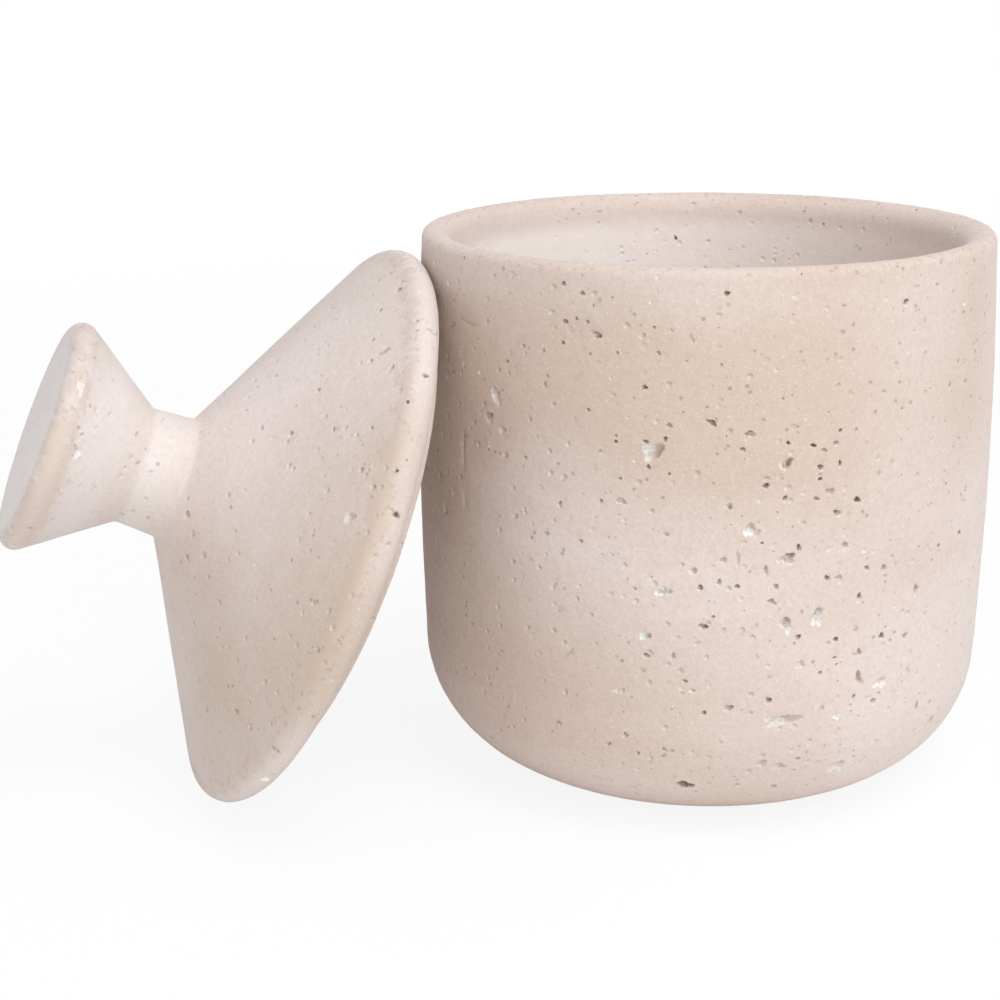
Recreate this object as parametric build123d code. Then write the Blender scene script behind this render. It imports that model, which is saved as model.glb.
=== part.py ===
from build123d import *
import os
from math import acos, asin, atan2, ceil, cos, degrees, hypot, radians, sin, tan

os.makedirs("parts", exist_ok=True)

# A round lidded box of pitted, unglazed ceramic, in millimetres, +Z up.
# The pot stands on z = 0 with its axis on Z. Its lid has been taken off: it stands on the
# edge of its rim, on the same floor, and leans against the pot's left wall.
# Both pieces are turned forms, so each is one half outline swung once round its axis.
# The small rounds of an outline are drawn as short chords, which keeps the solids light, and
# the chord slack is the most that a chord strays from its round.
chord_slack = 0.1

# Pot
rim_radius = 65.0
base_radius = 64.0
body_height = 125.0
wall_bow = 1.9
wall = 7.2
base_thickness = 8.0
heel_round = 28.0
lip_outer_round_share = 0.25
lip_inner_round_share = 0.69

# Lid rim and cone
lid_overhang = 0.7
lid_rim_round = 3.7
cone_height = 34.7
lid_wall = 7.0
hollow_tip_round = 20.0

# Lid locating ring, which drops into the pot's mouth
ring_clearance = 2.0
ring_depth = 3.5
ring_width = 6.0
ring_chamfer = 1.0

# Lid neck and knob
neck_base_radius = 13.9
neck_top_radius = 13.2
neck_length = 9.8
knob_radius = 26.0
knob_height = 22.5
knob_edge_round = 3.0

# How the lid leans: its axis is tilted from upright and points away from the pot,
# and passes a little to one side of the pot's axis
lean_tilt = 66.2
lean_bearing = 201.9
lean_offset = 6.6
leaning_gap = 0.3
gap_tolerance = 0.01
most_steps = 40


def turned(outline):
    """Swing a closed half outline once round the Z axis."""
    return revolve(Plane.XZ * make_face(outline), Axis.Z)


def arc(centre, radius, start, end):
    """The ends of the chords along a round, from one angle to another in degrees."""
    widest = 2 * degrees(acos(1 - chord_slack / radius))
    chords = ceil(abs(end - start) / widest)
    angles = [radians(start + (end - start) * chord / chords) for chord in range(chords + 1)]
    return [(centre[0] + radius * cos(angle), centre[1] + radius * sin(angle)) for angle in angles]


def touch_angle(start, centre, radius, side):
    """The angle on a circle at which a straight line from start touches it, in degrees.

    The line leaves the circle's centre on its right (side 1) or on its left (side -1).
    """
    reach = hypot(centre[0] - start[0], centre[1] - start[1])
    heading = atan2(centre[1] - start[1], centre[0] - start[0]) + side * asin(radius / reach)
    return degrees(heading) + side * 90


def wall_radius(height):
    """Outer radius of the pot: a straight taper up to the lip, plus a bow that is zero at both ends."""
    rise = height / (body_height - lip_outer_round_share * wall)
    return base_radius + (rim_radius - base_radius) * rise + wall_bow * 4 * rise * (1 - rise)


def bore_radius():
    """The straight bore leaves a full wall at the narrower of the pot's two ends, heel and rim."""
    return min(wall_radius(heel_round), rim_radius) - wall


def make_pot():
    """A barrel with a straight bore, a wide round at its heel and a lip that is rounded more inside."""
    bore = bore_radius()
    outer_lip = lip_outer_round_share * wall
    inner_lip = lip_inner_round_share * wall
    inner_heel = heel_round - wall

    # Heights at which the rounds run into the wall, outside and inside
    outer_top = body_height - outer_lip
    inner_top = body_height - inner_lip
    inner_bottom = base_thickness + inner_heel
    waist = (heel_round + outer_top) / 2

    floor = arc((bore - inner_heel, inner_bottom), inner_heel, 0, -90)
    heel = arc((wall_radius(heel_round) - heel_round, heel_round), heel_round, -90, 0)
    lip = arc((rim_radius - outer_lip, outer_top), outer_lip, 0, 90)
    lip += arc((bore + inner_lip, inner_top), inner_lip, 90, 180)

    # The bowed wall is one arc from the heel to the lip
    outline = (
        Polyline(lip[-1], *floor, (0, base_thickness), (0, 0), *heel)
        + ThreePointArc(heel[-1], (wall_radius(waist), waist), lip[0])
        + Polyline(*lip)
    )
    return turned(outline)


def make_lid():
    """The lid in its own frame: z = 0 is the underside of its rim, which seats on the pot."""
    lid_radius = rim_radius + lid_overhang
    neck_top = cone_height + neck_length
    lid_top = neck_top + knob_height

    # The rim is one round edge, and the cone runs straight from it up to the neck's foot
    neck_foot = (neck_base_radius, cone_height)
    rim_centre = (lid_radius - lid_rim_round, lid_rim_round)
    cone_angle = touch_angle(neck_foot, rim_centre, lid_rim_round, 1)

    # The knob flares from the neck's head to its own round edge
    neck_head = (neck_top_radius, neck_top)
    knob_centre = (knob_radius - knob_edge_round, lid_top - knob_edge_round)
    flare_angle = touch_angle(neck_head, knob_centre, knob_edge_round, -1)

    # The hollow follows the cone at an even wall, and has a round tip under the neck
    slope = radians(90 - cone_angle)
    hollow_apex = cone_height + neck_base_radius * tan(slope) - lid_wall / cos(slope)
    tip_centre = (0, hollow_apex - hollow_tip_round / cos(slope))

    # The locating ring stands inside the rim, and its inner side runs on into the hollow
    ring_outer = bore_radius() - ring_clearance
    ring_inner = ring_outer - ring_width
    ring = [
        (ring_outer, 0),
        (ring_outer, ring_chamfer - ring_depth),
        (ring_outer - ring_chamfer, -ring_depth),
        (ring_inner + ring_chamfer, -ring_depth),
        (ring_inner, ring_chamfer - ring_depth),
        (ring_inner, hollow_apex - ring_inner * tan(slope)),
    ]

    outline = (
        [(0, lid_top)]
        + arc(knob_centre, knob_edge_round, 90, flare_angle)
        + [neck_head, neck_foot]
        + arc(rim_centre, lid_rim_round, cone_angle, -90)
        + ring
        + arc(tip_centre, hollow_tip_round, cone_angle, 90)
    )
    return turned(Polyline(*outline, close=True))


def lean(lid, pot):
    """Stand the lid on its rim's edge and slide it towards the pot until only the leaning gap is left.

    It starts where all of it lies beyond the pot's wall. The first step in is its distance from
    the pot less the gap, which can't be too far. From then on the pace is the last step over
    the distance that it took away, and as both pieces bulge, that falls short of the touch too.
    """
    lid_radius = rim_radius + lid_overhang
    tilt = radians(lean_tilt)
    lift = (lid_radius - lid_rim_round) * sin(tilt) - lid_rim_round * cos(tilt) + lid_rim_round
    out = rim_radius + wall_bow + lid_radius * cos(tilt) + ring_depth
    pace = 1
    spare = 0
    for _ in range(most_steps):
        placed = Rot(0, 0, lean_bearing) * Pos(out, -lean_offset, lift) * Rot(0, lean_tilt, 0) * lid
        before = spare
        spare = placed.distance_to(pot) - leaning_gap
        if spare < gap_tolerance:
            break
        if before > spare:
            pace = step_in / (before - spare)
        step_in = spare * pace
        out -= step_in
    print(f"the lid's rim stands {out:.2f} mm out from the pot's axis, its centre {lift:.2f} mm up")
    print(f"gap between lid and pot {spare + leaning_gap:.3f} mm")
    return placed


pot = make_pot()
lid = lean(make_lid(), pot)
print(f"pot {pot.volume:.0f} mm3, lid {lid.volume:.0f} mm3")

export_step(pot, "parts/pot.step")
export_step(lid, "parts/lid.step")
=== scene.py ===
# %% [markdown]
# A pitted ceramic box with its lid off
#
# The object is a round pot and a conical lid with a flared knob, both of one matt, sandy pink
# body full of small holes. Each piece is a turned form. A bump texture has no edge against the
# light, and a hole has one, so each piece is one closed surface whose points crowd round every
# hole.

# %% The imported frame
import math

import bpy
import numpy as np
from mathutils import Matrix, Vector
from mathutils.geometry import delaunay_2d_cdt
from mathutils.kdtree import KDTree


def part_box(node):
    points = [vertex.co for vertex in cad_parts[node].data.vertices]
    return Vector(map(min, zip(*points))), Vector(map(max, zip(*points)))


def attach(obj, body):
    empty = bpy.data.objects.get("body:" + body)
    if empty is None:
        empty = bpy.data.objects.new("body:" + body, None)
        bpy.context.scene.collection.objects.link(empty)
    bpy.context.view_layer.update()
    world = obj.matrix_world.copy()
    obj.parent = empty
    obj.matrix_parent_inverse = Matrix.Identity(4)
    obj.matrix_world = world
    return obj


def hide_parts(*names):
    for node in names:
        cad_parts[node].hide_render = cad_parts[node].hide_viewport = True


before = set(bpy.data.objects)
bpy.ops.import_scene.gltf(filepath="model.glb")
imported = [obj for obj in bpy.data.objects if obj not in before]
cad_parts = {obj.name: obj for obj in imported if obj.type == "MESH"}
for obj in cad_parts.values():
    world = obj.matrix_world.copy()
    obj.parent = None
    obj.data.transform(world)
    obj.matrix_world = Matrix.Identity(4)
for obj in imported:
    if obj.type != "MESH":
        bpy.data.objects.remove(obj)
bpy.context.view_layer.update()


def add_object(name, data):
    """A new object at the origin that shows its data in the scene."""
    thing = bpy.data.objects.new(name, data)
    bpy.context.scene.collection.objects.link(thing)
    return thing


# %% [markdown]
# Sizes
#
# Shapes are worked out in millimetres and go into the meshes in metres. The pot's height and
# the lid's reach are read from the frame, and the other sizes are those of the two turned
# outlines. Every patch and hole further down is placed from these.

# %% Sizes
MM = 0.001
pot_low, pot_high = (np.array(corner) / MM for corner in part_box("pot"))
body_height = pot_high[2] - pot_low[2]
lid_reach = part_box("lid")[0][0] / MM

base_radius = 64.0
rim_radius = 65.0
wall_bow = 1.9
wall = 7.2
base_thickness = 8.0
heel_round = 28.0
outer_lip = 0.25 * wall
inner_lip = 0.69 * wall

lid_overhang = 0.7
lid_radius = rim_radius + lid_overhang
lid_rim_round = 3.7
cone_height = 34.7
lid_wall = 7.0
hollow_tip_round = 20.0
ring_clearance = 2.0
ring_width = 6.0
ring_depth = 3.5
ring_outer = rim_radius - wall - ring_clearance
ring_inner = ring_outer - ring_width
neck_base_radius = 13.9
neck_top_radius = 13.2
neck_length = 9.8
knob_height = 22.5
neck_top = cone_height + neck_length
lid_top = neck_top + knob_height
knob_radius = 26.0
knob_edge_round = 3.0
crease_round = 1.2

lid_tilt = math.radians(66.2)
lid_bearing = math.radians(201.9)
lid_offset = 6.6
print("pot height", round(float(body_height), 2), "mm")

# %% [markdown]
# Where the lid leans
#
# The lid is shaped upright, with its rim on z = 0, and is then tilted over and stood beside the
# pot. Its mesh takes the turned place, so its object stays at the origin. How far out it stands
# follows from the frame: the round edge of its knob reaches furthest out.

# %% The lid's place
lid_lift = (
    (lid_radius - lid_rim_round) * math.sin(lid_tilt)
    - lid_rim_round * math.cos(lid_tilt)
    + lid_rim_round
)
knob_edge_height = lid_top - knob_edge_round
axis_x = math.cos(lid_bearing) * math.sin(lid_tilt)
knob_reach = (knob_radius - knob_edge_round) * math.sqrt(1 - axis_x**2) + knob_edge_round
knob_middle_x = lid_reach + knob_reach - lid_offset * math.sin(lid_bearing)
lid_out = knob_middle_x / math.cos(lid_bearing) - knob_edge_height * math.sin(lid_tilt)
print("the lid's rim stands", round(lid_out, 2), "mm out from the pot's axis")
lid_place = np.array(
    Matrix.Rotation(lid_bearing, 4, "Z")
    @ Matrix.Translation((lid_out, -lid_offset, lid_lift))
    @ Matrix.Rotation(lid_tilt, 4, "Y")
)
upright = np.eye(4)


def moved(points, place):
    """Points turned and shifted by a 4 x 4 place matrix."""
    return points @ place[:3, :3].T + place[:3, 3]


def unmoved(points, place):
    """The reverse of moved."""
    return (points - place[:3, 3]) @ place[:3, :3]


# %% [markdown]
# Profiles
#
# A turned piece is its half outline and nothing else. The outlines start and end on the axis,
# and the clay is always on the left of the way along, so that the normal is on the right. They
# are sampled every tenth of a millimetre.

# %% Stretches of an outline
step = 0.1
ease_points = 9


def arc(centre, radius, start, end):
    """Points (centre + radius (cos a, sin a)) for a from start to end, in degrees."""
    count = max(int(abs(end - start) * math.pi / 180 * radius / step), 4)
    angle = np.radians(np.linspace(start, end, count))
    return np.stack([centre[0] + radius * np.cos(angle), centre[1] + radius * np.sin(angle)], 1)


def touch_angle(start, centre, radius, side):
    """Angle on a circle where a line from start touches it: the line's heading and a quarter turn."""
    across, up = centre[0] - start[0], centre[1] - start[1]
    heading = math.atan2(up, across) + side * math.asin(radius / math.hypot(across, up))
    return math.degrees(heading) + side * 90


def eased(before, corner, after, radius):
    """Points of the arc of a given radius that touches both sides of a corner and replaces it."""
    before, corner, after = (np.array(point, float) for point in (before, corner, after))
    back = (before - corner) / np.linalg.norm(before - corner)
    on = (after - corner) / np.linalg.norm(after - corner)
    half = math.acos(float(np.clip(back @ on, -1, 1))) / 2
    middle = (back + on) / np.linalg.norm(back + on)
    centre = corner + middle * radius / math.sin(half)
    share = np.linspace(-1, 1, ease_points)[:, None] * (math.pi / 2 - half)
    across = (on - back) / np.linalg.norm(on - back)
    return centre - middle * radius * np.cos(share) + across * radius * np.sin(share)


def profile(*stretches):
    """One outline from its stretches: place, normal and the shape-keeping length v at every step.

    v is the sum of (step / radius). With the turn u it spreads the piece on a flat sheet where
    small circles stay circles, so that holes keep their outline.
    """
    points = np.vstack(stretches)
    along = np.concatenate([[0], np.cumsum(np.linalg.norm(np.diff(points, axis=0), axis=1))])
    keep = np.concatenate([[True], np.diff(along) > 1e-6])
    points, along = points[keep], along[keep]
    s = np.arange(0, along[-1], step)
    r = np.interp(s, along, points[:, 0])
    z = np.interp(s, along, points[:, 1])
    out, up = np.gradient(z, s), -np.gradient(r, s)
    length = np.hypot(out, up)
    v = np.concatenate([[0], np.cumsum(step / np.maximum((r[1:] + r[:-1]) / 2, 0.5))])
    return {"s": s, "r": r, "z": z, "out": out / length, "up": up / length, "v": v}


def at_length(shape, key, s):
    """A column of an outline read at the lengths s."""
    return np.interp(s, shape["s"], shape[key])


# %% [markdown]
# The pot's outline
#
# On the real pot the wall is a shallow barrel with a wide round at its heel, and the lip is
# rounded more on the inside than on the outside. The bow is a parabola over the height.

# %% The pot's outline
outer_top = body_height - outer_lip
inner_top = body_height - inner_lip
inner_heel = heel_round - wall
bore_radius = rim_radius - wall


def wall_radius(height):
    """Straight taper from base to rim, plus four times the bow times rise times (1 - rise)."""
    rise = height / outer_top
    return base_radius + (rim_radius - base_radius) * rise + wall_bow * 4 * rise * (1 - rise)


wall_heights = np.linspace(heel_round, outer_top, 200)
pot_profile = profile(
    [[0, 0]],
    arc((wall_radius(heel_round) - heel_round, heel_round), heel_round, -90, 0),
    np.stack([wall_radius(wall_heights), wall_heights], 1),
    arc((rim_radius - outer_lip, outer_top), outer_lip, 0, 90),
    arc((bore_radius + inner_lip, inner_top), inner_lip, 90, 180),
    arc((bore_radius - inner_heel, base_thickness + inner_heel), inner_heel, 0, -90),
    [[0, base_thickness]],
)
print("pot outline", round(pot_profile["s"][-1], 1), "mm, widest", round(pot_profile["r"].max(), 2))

# %% [markdown]
# The lid's outline
#
# The lid's rim is one full round, the cone runs straight from it to the neck, and the knob
# flares out to its own round edge. Below, a ring drops into the pot's mouth round a hollow.

# %% The lid's outline
neck_foot = (neck_base_radius, cone_height)
neck_head = (neck_top_radius, neck_top)
rim_centre = (lid_radius - lid_rim_round, lid_rim_round)
knob_centre = (knob_radius - knob_edge_round, lid_top - knob_edge_round)
cone_angle = touch_angle(neck_foot, rim_centre, lid_rim_round, 1)
flare_angle = touch_angle(neck_head, knob_centre, knob_edge_round, -1)
slope = math.radians(90 - cone_angle)
hollow_apex = cone_height + neck_base_radius * math.tan(slope) - lid_wall / math.cos(slope)
tip_centre = (0, hollow_apex - hollow_tip_round / math.cos(slope))

rim_arc = arc(rim_centre, lid_rim_round, -90, cone_angle)
knob_arc = arc(knob_centre, knob_edge_round, flare_angle, 90)
tip_arc = arc(tip_centre, hollow_tip_round, 90, cone_angle)
ring_root = (ring_inner, hollow_apex - ring_inner * math.tan(slope))
ring_corners = [
    tip_arc[-1],
    ring_root,
    (ring_inner, -ring_depth),
    (ring_outer, -ring_depth),
    (ring_outer, 0),
    rim_arc[0],
]
ring_rounds = [2.0, 1.0, 1.0, 0.8]
lid_profile = profile(
    tip_arc,
    *[
        eased(*ring_corners[place : place + 3], radius)
        for place, radius in enumerate(ring_rounds)
    ],
    rim_arc,
    eased(rim_arc[-1], neck_foot, neck_head, crease_round),
    eased(neck_foot, neck_head, knob_arc[0], crease_round),
    knob_arc,
    [[0, lid_top]],
)
print("lid outline", round(lid_profile["s"][-1], 1), "mm, cone slope", round(math.degrees(slope), 1))

# %% [markdown]
# Uneven ground
#
# A sum of cosine waves, each in its own direction, gives a smooth field that any number of
# points can ask for at once. It steers the slight unevenness of the walls, where the holes
# gather, and where the edges are worn.

# %% A field of waves
rng = np.random.default_rng(23)


def waves(size, count=24):
    """A field f(p) = mean of cos(k . p + phase), scaled to about -1..1, of a given size in mm."""
    ways = rng.normal(size=(count, 3))
    lengths = 2 * math.pi / size * rng.uniform(0.6, 1.5, (count, 1))
    ways *= lengths / np.linalg.norm(ways, axis=1)[:, None]
    phases = rng.uniform(0, 2 * math.pi, count)
    return lambda points: np.cos(points @ ways.T + phases).sum(1) / math.sqrt(count / 2) / 1.6


swell = waves(45.0)
ripple = waves(9.0)
gathering = waves(26.0)
wearing = waves(5.0)
print("fields ready")

# %% [markdown]
# The camera
#
# The camera comes before the holes, because the largest are placed where they are seen. Its
# place and turn were fitted to the outlines of the photograph. The key light's place is named
# with it, because holes and dimples get painted shade on the side near the light and a painted
# highlight on the other.

# %% The camera
camera_place = np.array([0.0, -423.143, 181.958])
yaw, pitch, roll = math.radians(-6.461), math.radians(16.227), math.radians(-0.460)
focal_px = 1828.0
frame_px = 1000.0
sensor_width = 36.0

outward = math.cos(pitch)
ahead = np.array([math.sin(yaw) * outward, math.cos(yaw) * outward, -math.sin(pitch)])
level = np.array([math.cos(yaw), -math.sin(yaw), 0])
above = np.cross(level, ahead)
right = math.cos(roll) * level + math.sin(roll) * above
up = math.cos(roll) * above - math.sin(roll) * level

camera_data = bpy.data.cameras.new("camera")
camera_data.sensor_width = sensor_width
camera_data.lens = focal_px / frame_px * sensor_width
camera_data.clip_end = 20.0
camera = add_object("camera", camera_data)
turn = Matrix([list(row) for row in np.stack([right, up, -ahead], 1)]).to_4x4()
camera.matrix_world = Matrix.Translation(Vector(camera_place * MM)) @ turn
bpy.context.scene.camera = camera
print("lens", round(camera_data.lens, 2), "mm")

key_place = np.array([750.0, -550.0, 850.0])


# %% [markdown]
# From a pixel to the clay
#
# A ray through a pixel is followed in strides a little shorter than its distance from the
# piece, forwards or back, until it rests on the surface. What comes back is the turn u and the
# length s along the outline, which place a hole on the piece itself, whatever the view.

# %% Pixels onto a piece
def rays(pixels):
    """Unit directions ahead + (x right + y up) / focal length, for pixels from the top left."""
    x = (pixels[:, :1] - frame_px / 2) / focal_px
    y = (frame_px / 2 - pixels[:, 1:2]) / focal_px
    way = ahead + x * right + y * up
    return way / np.linalg.norm(way, axis=1)[:, None]


coarse = 4
ray_start, ray_steps, longest_stride, stride_share = 250.0, 60, 40.0, 0.9


def depth_in_clay(points, shape):
    """How deep points lie in a turned piece, along the normal of the nearest outline point."""
    r, z = np.hypot(points[:, 0], points[:, 1]), points[:, 2]
    across, up_down = r[:, None] - shape["r"][::coarse], z[:, None] - shape["z"][::coarse]
    near = np.argmin(across**2 + up_down**2, 1) * coarse
    away = (r - shape["r"][near]) * shape["out"][near] + (z - shape["z"][near]) * shape["up"][near]
    return -away, near


def place_pixels(pixels, shape, place):
    """Turn u and outline length s where the rays through pixels first meet a piece."""
    pixels = np.array(pixels, float)
    start = unmoved(camera_place[None], place)
    way = rays(pixels) @ place[:3, :3]
    reach = np.full(len(pixels), ray_start)
    for _ in range(ray_steps):
        inside, _ = depth_in_clay(start + way * reach[:, None], shape)
        reach += np.clip(-inside, -longest_stride, longest_stride) * stride_share
    spot = start + way * reach[:, None]
    _, near = depth_in_clay(spot, shape)
    return np.arctan2(spot[:, 1], spot[:, 0]) % (2 * math.pi), shape["s"][near]


middle_px = (650, 500)
print(middle_px, "lies at turn and length", *place_pixels([middle_px], pot_profile, upright))

# %% [markdown]
# The holes that are seen
#
# Gas and washed-out grains leave holes of many kinds: small deep ones with a brown floor, broad
# shallow ones, and a few large ones lined with white. The ones that give the pot its face are
# listed by pixel, with width and height as the eye sees them, in pixels, then depth in
# millimetres, how white the lining is, or -1 for a hole painted in shade all round, and lean in
# degrees. The last two are left out where they are 0.

# %% Holes read from the photograph
pot_holes_px = [
    # large, white-lined
    (653, 453, 24, 20, 1.0, 0.5, 20), (786, 465, 15, 11, 1.4, 0.8, 20),
    (787, 559, 19, 13, 1.6, 0.8, 25), (663, 593, 18, 10, 1.0, 1, 8), (786, 624, 11, 20, 1.5, 1, 25),
    (817, 617, 11, 22, 1.4, 1, -10), (783, 720, 40, 12, 0.7, 0.5, 5), (760, 764, 14, 9, 0.7, 0.4),
    (778, 767, 15, 8, 0.7, 0.4, 5), (836, 767, 14, 15, 1.0, 0.55), (750, 531, 16, 13, 0.7, 0.7, 30),
    (880, 683, 15, 10, 0.6, 0.8, 10),
    # middling, with painted shade on the upper edge, near the light
    (712, 422, 13, 6, 1.2, 0.2, -25), (751, 435, 12, 8, 1.2, 0.5, -25), (821, 468, 7, 7, 1.3),
    (766, 486, 7, 7, 1.3), (857, 500, 7, 8, 1.3, 0, 30), (838, 513, 9, 7, 1.1, 0.3, -40),
    (785, 498, 5, 8, 0.9, 0.2), (830, 491, 11, 8, 0.6, 0.2, -20), (813, 445, 8, 4, 0.9, 0.1),
    (816, 498, 9, 4, 0.6, 0.1, -10), (766, 571, 5, 15, 0.6, 0, 10), (738, 558, 4, 19, 0.4, 0.2, 3),
    (799, 549, 6, 9, 1.0, 0.1, 15), (729, 507, 8, 9, 0.8, 0.5, 20), (723, 561, 9, 8, 0.6, 0.4),
    (693, 571, 9, 8, 0.7, 0.5, 20), (719, 583, 5, 9, 0.9, 0.6, -20), (700, 589, 7, 7, 1.0, 0.3),
    (737, 586, 6, 5, 1.0, 0.2), (772, 603, 11, 6, 0.7, 0, -25), (776, 588, 6, 8, 0.6),
    (703, 626, 10, 7, 1.2, 0.3, -10), (645, 636, 13, 9, 0.8, 0.7, 10),
    (647, 656, 7, 6, 0.9, 0.2, -30), (673, 656, 5, 9, 0.6, 0.1, -10), (800, 665, 11, 10, 0.5, 0.4),
    (839, 578, 10, 6, 0.5, 0.1), (845, 546, 8, 9, 0.6, 0.3, 20), (767, 479, 7, 5, 0.5, 0.4),
    (621, 501, 12, 7, 0.8, 0.5, -15), (565, 322, 8, 5, 1.0, 0.1), (597, 335, 12, 6, 1.1, 0.1, -30),
    (644, 387, 7, 5, 1.1), (495, 395, 8, 18, 1.1, 0.6, 15), (489, 418, 12, 11, 1.2, 0.2, 30),
    (502, 431, 8, 8, 0.9, 0.3), (505, 455, 7, 5, 1.0, 0.1), (478, 444, 4, 7, 0.9, 0.1),
    (669, 426, 8, 5, 0.8, 0.4, -15), (453, 491, 5, 8, 0.8, 0.1), (445, 508, 7, 10, 0.8, 0.2),
    (560, 505, 5, 7, 0.8, 0.1, 10), (515, 515, 9, 5, 0.7, 0.4), (546, 533, 7, 5, 0.6, 0.1),
    (859, 596, 6, 7, 0.9, 0.1), (916, 591, 6, 13, 0.8, 0.3), (884, 568, 6, 10, 0.7, 0.2),
    (881, 636, 7, 7, 0.9, 0.1), (905, 637, 6, 7, 0.8, 0.1), (859, 653, 6, 9, 0.8, 0.2),
    (859, 679, 8, 17, 0.8, 0.1, 20), (873, 701, 7, 6, 0.8, 0.2), (768, 701, 7, 8, 0.8, 0.1),
    (728, 709, 11, 9, 0.7, 0.3), (836, 716, 8, 9, 0.6, 0.9), (916, 707, 5, 9, 0.7, 0.1),
    (930, 722, 5, 11, 0.7, 0.2), (685, 785, 13, 9, 2.6, -1, -8), (597, 778, 10, 6, 0.7, 0.3),
    (773, 786, 5, 6, 0.8, 0.2),
    # small and dark
    (616, 441, 5, 4, 1.0), (665, 440, 5, 6, 1.1, 0.1), (669, 474, 4, 4, 0.9),
    (648, 468, 6, 5, 0.9, 0.1), (646, 442, 7, 4, 0.9, 0.1, -10), (820, 479, 5, 5, 1.0),
    (840, 465, 4, 8, 0.9, 0.1), (576, 319, 5, 4, 0.9), (587, 322, 5, 4, 0.9), (563, 344, 5, 4, 0.8),
    (523, 346, 5, 4, 0.8), (543, 350, 5, 4, 0.8), (464, 365, 5, 5, 0.8), (507, 361, 5, 4, 0.8),
    (509, 373, 4, 4, 0.8), (547, 377, 4, 4, 0.8), (601, 501, 4, 5, 0.9), (620, 478, 4, 4, 0.9),
    (581, 541, 5, 5, 0.8), (531, 537, 5, 4, 0.8), (616, 436, 4, 4, 0.9), (588, 410, 5, 4, 0.8),
    (530, 419, 5, 4, 0.8), (525, 458, 5, 4, 0.8), (762, 543, 4, 4, 0.9, 0.1),
    (788, 443, 5, 5, 0.8, 0.1), (836, 444, 6, 6, 0.6, 0.1), (824, 451, 8, 5, 0.5, 0.2),
    (798, 637, 6, 5, 0.7, 0.2), (835, 640, 6, 6, 0.8, 0.1), (563, 284, 7, 5, 0.9),
    (582, 293, 6, 5, 0.9), (625, 735, 6, 6, 0.7, 0.2), (559, 724, 6, 6, 0.7, 0.1),
    (685, 682, 5, 5, 0.8, 0.1), (692, 690, 6, 5, 0.5, 0.8),
    # upright pits on the wall beside the lid
    (454, 302, 4, 5, 0.8), (447, 356, 4, 8, 0.8), (447, 376, 4, 7, 0.8), (454, 374, 4, 5, 0.8),
    (436, 425, 4, 7, 0.8), (448, 416, 4, 6, 0.8), (443, 434, 4, 6, 0.8), (437, 452, 4, 6, 0.8),
    (440, 476, 5, 8, 0.8), (434, 513, 4, 7, 0.8),
    # fine scratches
    (568, 654, 22, 3, 0.3, 0.1, 45), (463, 452, 3, 34, 0.25), (464, 500, 3, 18, 0.25, 0.2),
    (468, 322, 26, 3, 0.3, 0, -5), (452, 326, 12, 4, 0.4, 0, 25), (692, 340, 12, 4, 0.3, 0.1, -60),
]
lid_holes_px = [
    (349, 518, 12, 15, 0.5, 0.4, 20), (187, 515, 8, 8, 0.8, 0.1), (192, 533, 6, 7, 0.7, 0.1),
    (203, 555, 8, 6, 0.5, 0.1), (187, 558, 6, 7, 0.7, 0.1), (291, 434, 7, 5, 0.8),
    (372, 428, 4, 4, 0.8), (395, 470, 5, 6, 0.8, 0.1), (395, 515, 8, 9, 0.9, 0.1),
    (361, 470, 5, 6, 0.7, 0.1), (373, 487, 5, 6, 0.7, 0.1), (237, 712, 6, 6, 0.8, 0.1),
    (250, 727, 6, 6, 0.8, 0.1), (333, 628, 6, 6, 0.4, 0.5), (318, 650, 5, 6, 0.7, 0.1),
    (275, 750, 7, 8, 0.9, 0.2), (266, 779, 9, 7, 0.5, 0.6), (379, 311, 6, 4, 0.9),
    (383, 352, 4, 17, 0.6, 0.1, 5), (391, 368, 10, 5, 0.9, 0.1, -30), (371, 361, 5, 5, 0.7),
    (399, 290, 6, 6, 0.9, 0.1), (318, 390, 5, 5, 0.7), (334, 430, 5, 4, 0.7), (357, 435, 5, 4, 0.7),
    (425, 375, 6, 8, 0.8, 0.2), (433, 331, 5, 7, 0.8, 0.2), (408, 402, 5, 5, 0.7, 0.1),
    (415, 321, 5, 6, 0.8, 0.1),
    # on the knob
    (132, 458, 5, 4, 0.3), (126, 468, 4, 4, 0.3), (80, 429, 5, 6, 0.35, 0.1),
    (82, 435, 5, 5, 0.35, 0.1), (97, 410, 6, 6, 0.3, 0.1), (32, 424, 5, 5, 0.7, 0.1),
    (22, 493, 6, 6, 0.8, 0.1), (38, 397, 5, 5, 0.4, 0.1), (95, 488, 5, 5, 0.3, 0.1),
    (29, 529, 6, 6, 0.5, 0.1), (82, 384, 22, 8, 0.35, 1), (77, 452, 14, 8, 0.45, 0.5, 30),
]
print(len(pot_holes_px), "holes on the pot and", len(lid_holes_px), "on the lid are placed by eye")

# %% [markdown]
# The holes as numbers
#
# A hole is an ellipse on the flat sheet of u and v, with a wobbling outline. What the eye sees
# becomes half widths on the clay: a pixel is so many millimetres at that distance, and the
# width grows where the wall turns away. A little is taken off again, because the soft edge of
# a hole is read as part of it.

# %% Holes placed by pixel
def surface(shape, u, s):
    """Point and outward normal of the turned surface: radius and height at s, swung by u."""
    r, z, out, rise = (at_length(shape, key, s) for key in ("r", "z", "out", "up"))
    point = np.stack([r * np.cos(u), r * np.sin(u), z], 1)
    return point, np.stack([out * np.cos(u), out * np.sin(u), rise], 1)


drawn_share = 0.85
least_facing = 0.35


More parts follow.
